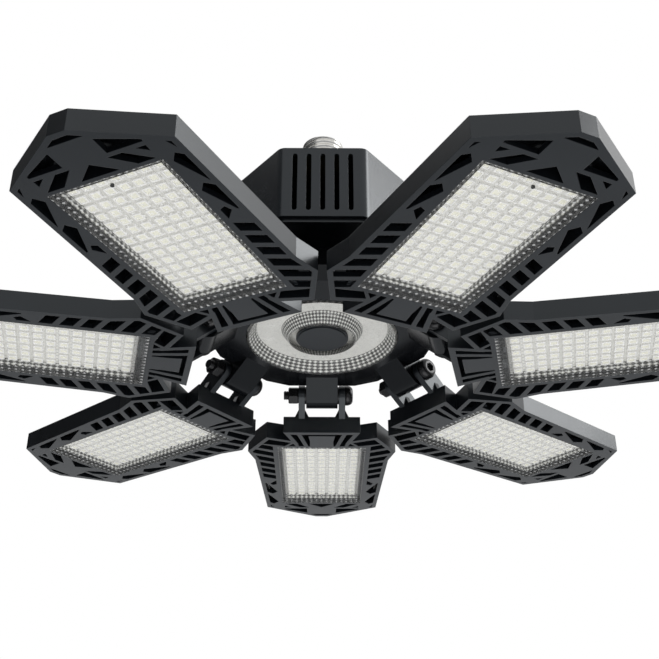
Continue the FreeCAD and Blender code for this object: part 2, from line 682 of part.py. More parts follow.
def wing_frame():
    """Rim, lattice, bezel and clevis of one wing, moulded in one piece."""
    height = WING_THICK
    rim = wing_prism(WING_Z, height).cut(wing_prism(WING_Z, height, RIM))
    lattice = wing_prism(WING_Z, LATTICE_THICK).cut(lattice_cutters())
    wall = box(BEZEL_U0, BEZEL_U1, -BEZEL_HALF, BEZEL_HALF, WING_Z, BACK_Z)
    deck_end = WING_START + DECK_LENGTH
    deck = wing_prism(WING_TOP_Z - DECK_THICK, DECK_THICK).common(
        box(WING_START, deck_end, -SHOULDER_HALF, SHOULDER_HALF, WING_Z, WING_TOP_Z))
    bosses = [peg(BOSS_R, WING_Z + LATTICE_THICK / 2, BACK_Z - WING_Z - LATTICE_THICK / 2, x, y)
              for x, y in boss_places()]
    body = rim.fuse([lattice, wall, deck] + bosses)
    edge = LENS_MARGIN - LENS_CLEARANCE
    seat = box(BEZEL_U0 + edge, BEZEL_U1 - edge, -BEZEL_HALF + edge, BEZEL_HALF - edge,
               WING_Z, WING_Z + LENS_THICK)
    well = well_box(0.0, WING_Z, BACK_Z)
    holes = [peg(SCREW_R + TURN_CLEARANCE, BACK_Z - SCREW_LENGTH, SCREW_LENGTH, x, y)
             for x, y in boss_places()]
    body = body.fuse([wing_ear(1), wing_ear(-1)])
    return one_solid(body.cut([seat, well] + holes))


def well_box(inset, z0, z1):
    """The light well of the bezel, or what fits in it with inset left all round."""
    end = LENS_MARGIN + LEDGE + inset
    hub_end = LENS_MARGIN + HUB_LEDGE + inset
    half = BEZEL_HALF - end
    return box(BEZEL_U0 + hub_end, BEZEL_U1 - end, -half, half, z0, z1)


def wing_lens():
    """Flush clear tray of one wing, bevelled round its light side, whose skirt meets the board."""
    m = LENS_MARGIN
    lens = box(BEZEL_U0 + m, BEZEL_U1 - m, -BEZEL_HALF + m, BEZEL_HALF - m, WING_Z,
               WING_Z + LENS_THICK)
    low = [e for e in lens.Edges if e.BoundBox.ZMax < WING_Z + LENS_THICK / 2]
    lens = lens.makeChamfer(LENS_CHAMFER, low)
    top = WING_Z + LENS_THICK
    board = BACK_Z - BOARD_THICK
    skirt = well_box(SKIRT_CLEARANCE, top, board)
    skirt = skirt.cut(well_box(SKIRT_CLEARANCE + SKIRT, top, board))
    return one_solid(lens.fuse(skirt))


def wing_board():
    return well_box(BOARD_CLEARANCE, BACK_Z - BOARD_THICK, BACK_Z)


def wing_back():
    """Aluminium back that closes the frame and cools the board, with low fins along it."""
    start = WING_START + DECK_LENGTH + BACK_CLEARANCE
    keep = box(start, WING_END, -SHOULDER_HALF, SHOULDER_HALF, BACK_Z, WING_TOP_Z)
    plate = wing_prism(BACK_Z, BACK_THICK, RIM + BACK_CLEARANCE).common(keep)
    fins = []
    for i in range(FIN_COUNT):
        y = (i - (FIN_COUNT - 1) / 2) * FIN_PITCH
        fins.append(box(BEZEL_U0 + FIN_END, BEZEL_U1 - FIN_END, y - FIN_THICK / 2, y + FIN_THICK / 2,
                        BACK_Z + BACK_THICK, BACK_Z + BACK_THICK + FIN_HEIGHT))
    holes = [peg(SCREW_R + TURN_CLEARANCE, BACK_Z, BACK_THICK, x, y) for x, y in boss_places()]
    return one_solid(plate.fuse(fins).cut(holes))


def wing_screws():
    seat = BACK_Z + BACK_THICK
    return Part.makeCompound([screw(x, y, seat, SCREW_LENGTH) for x, y in boss_places()])


# --- build --------------------------------------------------------------------------------------
def main():
    os.makedirs("parts", exist_ok=True)
    export(hinge_hub(), "hinge_hub")
    export(ring_lens(), "ring_lens")
    export(ring_board(), "ring_board")
    export(centre_cap(), "centre_cap")
    export(driver_housing(), "driver_housing")
    export(housing_floor(), "housing_floor")
    export(floor_screws(), "floor_screws")
    export(driver_board(), "driver_board")
    export(board_screws(), "driver_board_screws")
    export(driver_transformer(), "driver_transformer")
    export(driver_capacitors(), "driver_capacitors")
    export(driver_choke(), "driver_choke")
    export(collar(), "collar")
    export(screw_shell(), "screw_shell")
    export(shell_insulator(), "shell_insulator")
    export(centre_contact(), "centre_contact")
    export(round_the_hub([hinge_bolt()]), "hinge_bolts")
    export(round_the_hub([hinge_nut()]), "hinge_nuts")
    washers = [hinge_washer(LUG_WIDTH / 2), hinge_washer(-LUG_WIDTH / 2 - WASHER_THICK)]
    export(round_the_hub(washers), "hinge_washers")
    pieces = (("frame", wing_frame()), ("lens", wing_lens()), ("board", wing_board()),
              ("back", wing_back()), ("screws", wing_screws()))
    for index in range(WINGS):
        for name, shape in pieces:
            export(spun(shape, azimuth(index)), "wing_%d_%s" % (index + 1, name))


main()
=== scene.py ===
"""Looks of the seven-wing folding ceiling lamp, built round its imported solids.

Metres. +Z is up and the origin lies on the lamp's axis at the lower rim of the screw shell. A wing
is worked out along +U, with its width along V, and carried round the axis to its place.
"""
import json
import math

import bmesh
import bpy
import numpy as np
from bpy.props import FloatProperty, FloatVectorProperty, IntProperty, PointerProperty
from mathutils import Matrix, Vector

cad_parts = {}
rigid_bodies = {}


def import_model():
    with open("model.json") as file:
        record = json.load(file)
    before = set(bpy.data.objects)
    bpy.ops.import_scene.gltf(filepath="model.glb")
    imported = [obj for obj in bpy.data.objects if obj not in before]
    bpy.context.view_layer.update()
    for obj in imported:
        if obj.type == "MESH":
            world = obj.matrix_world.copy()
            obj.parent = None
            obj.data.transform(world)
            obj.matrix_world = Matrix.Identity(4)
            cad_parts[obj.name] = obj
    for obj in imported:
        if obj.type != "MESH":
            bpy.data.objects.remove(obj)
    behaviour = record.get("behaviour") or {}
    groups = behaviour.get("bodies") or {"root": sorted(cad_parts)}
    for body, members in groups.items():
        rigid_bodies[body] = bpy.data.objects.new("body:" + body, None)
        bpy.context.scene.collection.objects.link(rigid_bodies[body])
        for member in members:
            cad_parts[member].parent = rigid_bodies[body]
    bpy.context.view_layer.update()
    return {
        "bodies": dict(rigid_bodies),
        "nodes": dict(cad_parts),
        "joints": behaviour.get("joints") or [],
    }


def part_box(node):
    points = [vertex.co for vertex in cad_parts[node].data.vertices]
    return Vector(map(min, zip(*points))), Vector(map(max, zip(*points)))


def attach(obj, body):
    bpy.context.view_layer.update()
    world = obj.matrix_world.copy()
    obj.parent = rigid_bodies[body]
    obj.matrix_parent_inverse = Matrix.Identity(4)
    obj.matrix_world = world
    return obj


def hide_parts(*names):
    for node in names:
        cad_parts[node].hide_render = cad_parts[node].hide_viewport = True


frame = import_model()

bl_info = {
    "name": "Folding ceiling lamp",
    "version": (1, 0, 0),
    "blender": (4, 5, 0),
    "location": "3D View > Sidebar > Lamp",
    "description": "Lenses, light chips, fasteners, finishes and studio of a folding ceiling lamp",
    "category": "Object",
}

MM = 0.001
WINGS = sorted(b for b in frame["bodies"] if b.startswith("wing_"))
HUB = "hub"
TAU = 2 * math.pi
COOL = (0.90, 0.96, 1.0)       # colour of the highlights on black plastic and coating
SEAM_DROP = 8.2 * MM           # from the housing's top to its parting line
SEAM_START = 24.8 * MM         # from the lamp's middle plane to where that line starts
LENS_THICK = 2.2 * MM          # face of a wing's lens
SHELL_SHOULDER = 2.4 * MM      # height of the cone above the shell's thread
BOLT_R = 3.0 * MM              # hinge bolt's shank
BOLT_HEAD_R = 6.4 * MM
BOLT_HEAD_HEIGHT = 4.8 * MM
SOCKET_R = 2.3 * MM            # half of the bolt's hexagonal socket, across its flats
SOCKET_DEPTH = 2.2 * MM
NUT_HALF = 5.0 * MM            # half of the nut across its flats
NUT_CHAMFER = 0.8 * MM


# --- sizes and colours a user would change -------------------------------------------------------
def length(name, text, millimetres):
    return FloatProperty(name=name, description=text, default=millimetres * MM, unit="LENGTH",
                         precision=5)


def colour(name, text, red, green, blue):
    return FloatVectorProperty(name=name, description=text, default=(red, green, blue), size=3,
                               subtype="COLOR", min=0.0, max=1.0)


class LampSizes(bpy.types.PropertyGroup):
    """Sizes of the pieces that the solids leave plain."""
    prism_pitch: length("Prism pitch", "From one prism of a lens to the next", 3.8)
    prism_height: length("Prism height", "Relief of the prisms on a lens face", 0.45)
    wall_pitch: length("Wall prism height", "Height of one prism on a tray wall", 1.75)
    wall_relief: length("Wall relief", "Depth of the prisms on a tray wall", 0.35)
    flange: length("Lens flange", "Smooth strip round a lens face", 2.0)
    skirt: length("Tray wall", "Thickness of a lens tray's wall", 1.2)
    chip: length("Chip size", "Side of one square light chip", 5.0)
    chip_height: length("Chip height", "Height of one light chip above the board", 1.3)
    chip_columns: IntProperty(name="Chip columns", description="Chips along a wing", default=14)
    chip_rows: IntProperty(name="Chip rows", description="Chips across a wing", default=7)
    thread_pitch: length("Shell pitch", "Pitch of the screw shell's rolled thread", 3.62)
    thread_depth: length("Shell thread", "Depth of the screw shell's rolled thread", 0.9)
    bolt_pitch: length("Bolt pitch", "Pitch of the hinge bolts' thread", 1.0)
    bolt_depth: length("Bolt thread", "Depth of the hinge bolts' thread", 0.5)


class LampColours(bpy.types.PropertyGroup):
    """Colours of the lamp's finishes."""
    moulding: colour("Moulding", "Black plastic of wings and collar", 0.0055, 0.0066, 0.0082)
    housing: colour("Housing", "Black plastic of the driver housing", 0.0065, 0.0088, 0.0118)
    casting: colour("Casting", "Coated metal of hub and wing backs", 0.0034, 0.0038, 0.0046)
    steel: colour("Black steel", "Hinge bolts, nuts and washers", 0.012, 0.012, 0.013)
    plated: colour("Plated steel", "Small screws", 0.55, 0.55, 0.56)
    nickel: colour("Nickel", "Screw shell and its contact", 0.66, 0.65, 0.62)
    lens: colour("Lens", "Clear plastic of the lenses", 0.93, 0.92, 0.88)
    board: colour("Board", "White lacquer of the light boards", 0.69, 0.68, 0.64)
    chip: colour("Chip", "White bodies of the light chips", 0.94, 0.93, 0.90)
    phosphor: colour("Phosphor", "Pale filling of the light chips", 0.88, 0.86, 0.72)


class StageSettings(bpy.types.PropertyGroup):
    """Camera and light."""
    distance: length("Camera distance", "From the camera to the middle of the ring lens", 595.6)
    elevation: FloatProperty(name="Camera elevation", description="Angle above the horizon",
                             default=math.radians(-28.44), subtype="ANGLE")
    roll: FloatProperty(name="Camera roll", description="Turn about the line of sight",
                        default=math.radians(0.208), subtype="ANGLE")
    lens: FloatProperty(name="Lens", description="Focal length on a 36 mm sensor",
                        default=55.64, subtype="DISTANCE_CAMERA")
    shift_x: FloatProperty(name="Shift across", description="Camera shift in frame widths",
                           default=0.0112)
    shift_y: FloatProperty(name="Shift up", description="Camera shift in frame widths",
                           default=0.0184)
    world: FloatProperty(name="Room light", description="Level of the even light", default=0.62)
    key: FloatProperty(name="Key lamp", description="Power of the large lamp on the right",
                       default=26.0, unit="POWER")
    fill: FloatProperty(name="Fill lamp", description="Power of the large lamp below",
                        default=11.0, unit="POWER")
    floor_z: length("Floor height", "Height of the floor below the lamp", -1600.0)


def sizes():
    return bpy.context.scene.lamp_sizes


def colours():
    return bpy.context.scene.lamp_colours


# --- node materials ------------------------------------------------------------------------------
class Wire:
    """One output of a shader node. Arithmetic on it adds Math nodes."""

    def __init__(self, paint, socket):
        self.paint = paint
        self.socket = socket

    def math(self, operation, *others):
        values = dict(enumerate((self, *others)))
        return self.paint.node("ShaderNodeMath", {"operation": operation}, values)

    def fellow(self, output):
        """Another output of the same node."""
        return Wire(self.paint, self.socket.node.outputs[output])

    def __add__(self, other):
        return self.math("ADD", other)

    def __radd__(self, other):
        return self.math("ADD", other)

    def __sub__(self, other):
        return self.math("SUBTRACT", other)

    def __rsub__(self, other):
        return (self * -1.0).math("ADD", other)

    def __mul__(self, other):
        return self.math("MULTIPLY", other)

    def __rmul__(self, other):
        return self.math("MULTIPLY", other)

    def tri(self):
        """Triangle wave: 0 at whole numbers and 1 halfway between them."""
        return 1.0 - (self.math("FRACT") * 2.0 - 1.0).math("ABSOLUTE")

    def step(self, low, high):
        """Rises smoothly from 0 at low to 1 at high."""
        return self.paint.node("ShaderNodeMapRange", {"interpolation_type": "SMOOTHSTEP"},
                               {"Value": self, "From Min": low, "From Max": high})


class Paint:
    """A node tree being wired: a material's, or the world's."""

    def __init__(self, owner):
        owner.use_nodes = True
        self.owner = owner
        self.tree = owner.node_tree
        self.tree.nodes.clear()

    def node(self, kind, settings=None, values=None, output=0):
        """Adds a node, makes its settings, then fills its sockets with values or wires."""
        made = self.tree.nodes.new(kind)
        for name, value in (settings or {}).items():
            setattr(made, name, value)
        for name, value in (values or {}).items():
            socket = made.inputs[name]
            if isinstance(value, Wire):
                self.tree.links.new(value.socket, socket)
            elif socket.type == "RGBA":
                socket.default_value = (*value, 1.0)
            else:
                socket.default_value = value
        return Wire(self, made.outputs[output]) if made.outputs else None

    def blend(self, factor, first, second):
        """Colour that goes from first to second as factor goes from 0 to 1."""
        values = {0: factor, 6: first, 7: second}
        return self.node("ShaderNodeMix", {"data_type": "RGBA"}, values, output=2)

    def place(self):
        return self.node("ShaderNodeTexCoord", output=3)

    def split(self, vector):
        """First of the three parts of a vector. The others are its fellows 1 and 2."""
        return self.node("ShaderNodeSeparateXYZ", {}, {"Vector": vector})

    def marks(self):
        """Where a point lies among the prisms, counted along and across them."""
        along = self.split(self.node("ShaderNodeUVMap", {"uv_map": "prisms"}))
        return along, along.fellow(1)

    def noise(self, scale, detail=2.0, rough=0.5, vector=None):
        """Cloud pattern of that many spots a metre, between 0 and 1."""
        return self.node("ShaderNodeTexNoise", {}, {"Vector": vector or self.place(),
                         "Scale": scale, "Detail": detail, "Roughness": rough})

    def bump(self, height, distance, strength=1.0, normal=None):
        values = {"Height": height, "Distance": distance, "Strength": strength}
        if normal:
            values["Normal"] = normal
        return self.node("ShaderNodeBump", {}, values)

    def soft_edges(self, radius):
        """Normal that is rounded over edges by radius."""
        return self.node("ShaderNodeBevel", {"samples": 4}, {"Radius": radius})

    def surface(self, values):
        self.out(self.node("ShaderNodeBsdfPrincipled", {}, values))

    def out(self, shader):
        kind = "World" if isinstance(self.owner, bpy.types.World) else "Material"
        self.node("ShaderNodeOutput" + kind, {}, {"Surface": shader})


def shade(base, factor):
    """A colour made lighter or darker."""
    return tuple(min(1.0, channel * factor) for channel in base)


def new_paint(name):
    return Paint(bpy.data.materials.new(name))


def moulded_plastic(name, base, rough=0.30, seam_z=None):
    """Black satin plastic: fine grain, faint flow clouds, rounded edges.

    At seam_z it has a thin parting line, outside the middle of the lamp's width.
    """
    paint = new_paint(name)
    clouds = paint.noise(28.0, 3.0)
    fine = paint.noise(2600.0, 1.0, 0.6)
    tone = paint.blend(clouds.step(0.3, 0.7), shade(base, 0.82), shade(base, 1.18))
    if seam_z is not None:
        x = paint.split(paint.place())
        near = 1.0 - (x.fellow(2) - seam_z).math("ABSOLUTE").step(0.15 * MM, 0.35 * MM)
        beside = x.math("ABSOLUTE").step(SEAM_START, SEAM_START + 0.5 * MM)
        tone = paint.blend(near * beside, tone, (0.001, 0.001, 0.001))
    normal = paint.bump(fine, 0.05 * MM, 0.25, paint.soft_edges(0.35 * MM))
    roughness = clouds * 0.10 + fine * 0.06 + (rough - 0.08)
    paint.surface({"Base Color": tone, "Roughness": roughness, "Normal": normal,
                   "Specular IOR Level": 0.45, "Specular Tint": COOL})
    return paint.owner


def coated_metal(name, base, rough=0.17):
    """Powder coat over a casting: orange peel, with small pits of the casting under it."""
    paint = new_paint(name)
    peel = paint.noise(900.0, 2.0, 0.55)
    clouds = paint.noise(35.0, 2.0)
    pits = paint.node("ShaderNodeTexVoronoi", {}, {"Vector": paint.place(), "Scale": 260.0})
    dents = pits.step(0.0, 0.16)
    tone = paint.blend(clouds, shade(base, 0.8), shade(base, 1.25))
    height = peel * 0.6 + dents * 0.4
    normal = paint.bump(height, 0.05 * MM, 0.2, paint.soft_edges(0.5 * MM))
    paint.surface({"Base Color": tone, "Roughness": peel * 0.08 + (rough - 0.04),
                   "Normal": normal, "Specular IOR Level": 0.2, "Specular Tint": COOL})
    return paint.owner


def worked_metal(name, base, rough, scratch=1400.0, metallic=1.0):
    """Turned or rolled metal: fine scratches, stains in its polish."""
    paint = new_paint(name)
    stretched = paint.node("ShaderNodeMapping", {}, {"Vector": paint.place(),
                           "Scale": (1.0, 1.0, 9.0)})
    scratches = paint.noise(scratch, 2.0, 0.6, stretched)
    stains = paint.noise(160.0, 3.0)
    tone = paint.blend(stains.step(0.35, 0.75), base, shade(base, 0.78))
    normal = paint.bump(scratches, 0.02 * MM, 0.3, paint.soft_edges(0.15 * MM))
    paint.surface({"Base Color": tone, "Metallic": metallic, "Normal": normal,
                   "Roughness": stains * 0.16 + scratches * 0.08 + (rough - 0.1)})
    return paint.owner


def lacquered_board(name, base, speck):
    """Lacquer over a circuit board: faint weave and small specks."""
    paint = new_paint(name)
    weave = paint.noise(1500.0, 1.0)
    specks = paint.noise(420.0, 2.0).step(0.62, 0.72)
    tone = paint.blend(specks * 0.5, base, speck)
    paint.surface({"Base Color": tone, "Roughness": weave * 0.1 + 0.35,
                   "Normal": paint.bump(weave, 0.02 * MM, 0.2)})
    return paint.owner


def wound_tape(name, base):
    """Tape or sleeve round a driver part: creases with painted shade in their hollows, and a dull
    sheen.
    """
    paint = new_paint(name)
    creases = paint.noise(340.0, 3.0, 0.6)
    # painted shade: the tone darkens where the creases' height is low
    tone = paint.blend(creases.step(0.35, 0.65), shade(base, 0.75), shade(base, 1.1))
    paint.surface({"Base Color": tone, "Roughness": creases * 0.2 + 0.35,
                   "Normal": paint.bump(creases, 0.1 * MM, 0.4)})
    return paint.owner


def clear_face(name):
    """Clear prism face: almost see-through, with painted highlights that make the prisms' ridges
    whiter.
    """
    paint = new_paint(name)
    u, v = paint.marks()
    ridge = (u.tri() + v.tri()) * 0.5
    # painted highlight: the ridges are whiter and less see-through, as if catching light
    painted_glint = ridge.step(0.66, 0.88)
    cloud = paint.noise(700.0, 2.0, 0.7)
    tone = paint.blend(painted_glint, colours().lens, (1.0, 1.0, 0.99))
    alpha = painted_glint * 0.42 + cloud.step(0.45, 0.75) * 0.08 + 0.04
    paint.surface({"Base Color": tone, "Alpha": alpha, "Roughness": 0.10,
                   "Specular IOR Level": 0.7})
    return paint.owner


def clear_rim(name):
    """Smooth clear plastic with faint streaks from its moulding."""
    paint = new_paint(name)
    streaks = paint.noise(300.0, 3.0, 0.7)
    alpha = streaks.step(0.48, 0.72) * 0.14 + 0.05
    paint.surface({"Base Color": colours().lens, "Alpha": alpha, "Roughness": 0.12,
                   "Specular IOR Level": 0.7, "Normal": paint.bump(streaks, 0.1 * MM, 0.3)})
    return paint.owner


def prism_wall(name):
    """Tray wall: each prism has a painted highlight, white as the board, and painted shadow, black
    as the frame.
    """
    paint = new_paint(name)
    u, v = paint.marks()
    diamond = u.tri() + v.tri()
    # painted shadow on one side of each prism, painted highlight on the other
    dark = 1.0 - diamond.step(0.94, 1.04)
    painted_glint = diamond.step(1.35, 1.7)
    middle = paint.blend(painted_glint, (0.46, 0.46, 0.43), (0.97, 0.97, 0.94))
    tone = paint.blend(dark, middle, (0.012, 0.012, 0.011))
    paint.surface({"Base Color": tone, "Roughness": dark * 0.2 + 0.18})
    return paint.owner


# --- mesh pieces ---------------------------------------------------------------------------------
def sheet(points, close_rows=False, close_columns=False):
    """Quads between the neighbours of a grid of points, rows first."""
    rows, columns = points.shape[:2]
    i = np.arange(rows if close_rows else rows - 1)[:, None]
    j = np.arange(columns if close_columns else columns - 1)[None, :]
    near, far = i * columns, ((i + 1) % rows) * columns
    left, right = j, (j + 1) % columns
    quads = np.stack([near + left, far + left, far + right, near + right], -1)
    return points.reshape(-1, 3), quads.reshape(-1, 4)


class Builder:
    """Gathers grids into one mesh, each with its own finish."""

    def __init__(self, name):
        self.name = name
        self.points = []
        self.faces = []
        self.finishes = []
        self.smooth = []
        self.prisms = []
        self.count = 0

    def add(self, points, faces, finish=0, smooth=False, prisms=None):
        points = np.asarray(points, float)
        if prisms is None:
            prisms = np.zeros((len(points), 2))
        self.points.append(points)
        self.faces += (np.asarray(faces) + self.count).tolist()
        self.finishes += [finish] * len(faces)
        self.smooth += [smooth] * len(faces)
        self.prisms.append(np.asarray(prisms, float).reshape(-1, 2))
        self.count += len(points)

    def grid(self, points, finish=0, smooth=False, prisms=None, rows=False, columns=False):
        corners, quads = sheet(points, rows, columns)
        self.add(corners, quads, finish, smooth, prisms)

    def finish(self, materials, body, slot, replaces=()):
        """Makes the object: joins the grids' shared edges and turns all faces outwards."""
        points = np.concatenate(self.points)
        prisms = np.concatenate(self.prisms)
        mesh = bpy.data.meshes.new(self.name)
        mesh.from_pydata(points.tolist(), [], self.faces)
        for material in materials:
            mesh.materials.append(material)
        mesh.polygons.foreach_set("material_index", np.array(self.finishes, np.int32))
        mesh.polygons.foreach_set("use_smooth", np.array(self.smooth, bool))
        corner_points = np.empty(len(mesh.loops), np.int32)
        mesh.loops.foreach_get("vertex_index", corner_points)
        layer = mesh.uv_layers.new(name="prisms")
        layer.data.foreach_set("uv", prisms[corner_points].astype(np.float32).ravel())
        shape = bmesh.new()
        shape.from_mesh(mesh)
        bmesh.ops.remove_doubles(shape, verts=shape.verts, dist=0.002 * MM)
        bmesh.ops.recalc_face_normals(shape, faces=shape.faces)
        shape.to_mesh(mesh)
        shape.free()
        mesh.update()
        piece = bpy.data.objects.new(self.name, mesh)
        bpy.context.scene.collection.objects.link(piece)
        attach(piece, body)
        if replaces:
            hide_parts(*replaces)
        return piece


def joint_of(wing):
    for joint in frame["joints"]:
        if joint["child"] == wing:
            return joint
    raise ValueError("no joint carries " + wing)


def azimuth_of(wing):
    """Angle of a wing round the lamp's axis, from where its hinge stands."""
    x, y = joint_of(wing)["pos_m"][:2]
    return math.atan2(y, x)


def carried(points, azimuth):
    """Points of (out, across, height) turned about the lamp's axis to a wing's place."""
    points = np.asarray(points, float)
    c, s = math.cos(azimuth), math.sin(azimuth)
    u, v, z = points[..., 0], points[..., 1], points[..., 2]
    return np.stack([u * c - v * s, u * s + v * c, z], -1)


def wing_box(node):
    """Lowest and highest (out, across, height) of a node of the first wing, which lies along +Y."""
    low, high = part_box(WINGS[0] + "_" + node)
    return (low.y, -high.x, low.z), (high.y, -low.x, high.z)


def tri(values):
    """Triangle wave: 0 at whole numbers and 1 halfway between them."""
    return 1.0 - np.abs(2.0 * (values - np.floor(values)) - 1.0)


def frame_loop(us, vs, low, high, z):
    """Points round a rectangle, spaced as the face's rows and columns are."""
    fu = (us - us[0]) / (us[-1] - us[0])
    fv = (vs - vs[0]) / (vs[-1] - vs[0])
    u = low[0] + fu * (high[0] - low[0])
    v = low[1] + fv * (high[1] - low[1])
    edges = [(u[:-1], np.full(len(u) - 1, v[0])), (np.full(len(v) - 1, u[-1]), v[:-1]),
             (u[:0:-1], np.full(len(u) - 1, v[-1])), (np.full(len(v) - 1, u[0]), v[:0:-1])]
    flat = np.concatenate([np.stack(e, -1) for e in edges])
    return np.column_stack([flat, np.full(len(flat), z)])


# --- operators -----------------------------------------------------------------------------------
class LAMP_OT_finishes(bpy.types.Operator):
    """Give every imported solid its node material"""
    bl_idname = "lamp.finishes"
    bl_label = "Finish the solids"

    def execute(self, context):
        tones = colours()
        moulding = moulded_plastic("moulded_black", tones.moulding)
        casting = coated_metal("coated_casting", tones.casting)
        steel = worked_metal("black_steel", tones.steel, 0.34, metallic=0.4)
        plated = worked_metal("plated_steel", tones.plated, 0.34)
        nickel = worked_metal("nickel_plate", tones.nickel, 0.26)
        white = lacquered_board("white_lacquer", tones.board, shade(tones.board, 0.9))
        green = lacquered_board("green_lacquer", (0.02, 0.12, 0.05), (0.2, 0.3, 0.1))
        tape = wound_tape("winding_tape", (0.62, 0.45, 0.08))
        by_node = {
            "hinge_hub": casting, "ring_lens": moulding, "ring_board": white,
            "centre_cap": moulding, "housing_floor": moulding, "collar": moulding,
            "driver_housing": moulded_plastic("housing_black", tones.housing, 0.26,
                                              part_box("driver_housing")[1].z - SEAM_DROP),
            "floor_screws": plated, "driver_board": green, "driver_board_screws": plated,
            "driver_transformer": tape, "driver_capacitors": wound_tape("sleeve", (0.02,) * 3),
            "driver_choke": tape, "screw_shell": nickel, "centre_contact": nickel,
            "shell_insulator": moulded_plastic("black_bead", (0.01,) * 3, 0.2),
            "hinge_bolts": steel, "hinge_nuts": steel, "hinge_washers": steel,
        }
        by_piece = {"frame": moulding, "lens": moulding, "board": white, "back": casting,
                    "screws": plated}
        for node, solid in frame["nodes"].items():
            material = by_node.get(node) or by_piece[node.rsplit("_", 1)[1]]
            solid.data.materials.clear()
            solid.data.materials.append(material)
        return {"FINISHED"}


class LAMP_OT_wing_lenses(bpy.types.Operator):
    """Make the wings' clear trays with their prisms"""
    bl_idname = "lamp.wing_lenses"
    bl_label = "Wing lenses"

    def execute(self, context):
        finishes = [clear_face("prism_face"), clear_rim("clear_rim"), prism_wall("prism_wall")]
        for wing in WINGS:
            self.tray(wing, finishes)
        return {"FINISHED"}

    def tray(self, wing, finishes):
        """Face, rim and skirt of one tray.

        The face's height is half the prism height times the sum of a triangle wave along the wing
        and one across it, which makes four-sided prisms. The skirt's inner wall leans in and out
        by the same sum, taken round the wall and up it.
        """
        made = sizes()
        low, high = wing_box("lens")
        board_low, board_high = wing_box("board")
        face_top = low[2] + LENS_THICK
        azimuth = azimuth_of(wing)
        field_low = (board_low[0] - made.flange / 2, board_low[1] - made.flange / 2)
        field_high = (board_high[0] + made.flange / 2, board_high[1] + made.flange / 2)
        counts = [2 * round((b - a) / made.prism_pitch) for a, b in zip(field_low, field_high)]
        us = np.concatenate([[low[0]], np.linspace(field_low[0], field_high[0], counts[0] + 1),
                             [high[0]]])
        vs = np.concatenate([[low[1]], np.linspace(field_low[1], field_high[1], counts[1] + 1),
                             [high[1]]])
        i, j = np.meshgrid(np.arange(len(us)), np.arange(len(vs)), indexing="ij")
        inside = (i > 1) & (i < len(us) - 2) & (j > 1) & (j < len(vs) - 2)
        rise = (tri((i - 1) / 2) + tri((j - 1) / 2)) / 2
        z = low[2] + made.prism_height * rise * inside
        face = np.stack([us[i], vs[j], z], -1)
        build = Builder(wing + "_prism_lens")
        uv = np.stack([(i - 1) / 2, (j - 1) / 2], -1)
        build.grid(carried(face, azimuth), 0, prisms=uv)
        rim_loops = [frame_loop(us, vs, low, high, low[2]), frame_loop(us, vs, low, high, face_top)]
        board_z = board_low[2]
        margin = 0.1 * MM
        outer_low = [board_low[k] + margin for k in (0, 1)]
        outer_high = [board_high[k] - margin for k in (0, 1)]
        inner_low = [x + made.skirt for x in outer_low]
        inner_high = [x - made.skirt for x in outer_high]
        rim_loops += [frame_loop(us, vs, outer_low, outer_high, face_top),
                      frame_loop(us, vs, outer_low, outer_high, board_z),
                      frame_loop(us, vs, inner_low, inner_high, board_z)]
        build.grid(carried(np.stack(rim_loops), azimuth), 1, columns=True)
        rows = 2 * max(1, round((board_z - face_top) / made.wall_pitch)) + 1
        wall = []
        marks = []
        count = len(rim_loops[0])
        turn = np.arange(count)
        for row in range(rows):
            lift = row / (rows - 1)
            relief = made.wall_relief * (tri(turn / 2) + tri(np.full(count, row / 2))) / 2
            relief *= 0 < row < rows - 1
            loop = frame_loop(us, vs, inner_low, inner_high, board_z + lift * (face_top - board_z))
            middle = (np.array(inner_low) + np.array(inner_high)) / 2
            inwards = middle - loop[:, :2]
            loop[:, :2] += inwards / np.linalg.norm(inwards, axis=1)[:, None] * relief[:, None]
            wall.append(loop)
            marks.append(np.column_stack([turn / 2, np.full(count, row / 2)]))
        build.grid(carried(np.stack(wall), azimuth), 2, prisms=np.stack(marks), columns=True)
        ceiling = carried(wall[-1], azimuth)
        build.add(ceiling, [tuple(range(count))], 1)
        self.gate(build, (field_high[0] - 4.5 * MM, (low[1] + high[1]) / 2, low[2]), azimuth)
        build.finish(finishes, wing, "clear_lens", [wing + "_lens"])


    def gate(self, build, place, azimuth):
        """Small stub inside the face near the tip, painted near black as shade: a cylinder with a
        cone on it, turned.
        """
        theta = np.arange(16) * TAU / 16
        profile = [(0.9 * MM, 0.1 * MM), (0.9 * MM, 1.0 * MM), (0.4 * MM, 1.4 * MM)]
        rows = LAMP_OT_screw_shell.turned(profile, theta) + np.array(place)
        # finish 2 without prism marks takes the wall's painted shadow, near black
        build.grid(carried(rows, azimuth), 2, columns=True)
        for end in (rows[0], rows[-1]):
            build.add(carried(end, azimuth), [tuple(range(16))], 2)


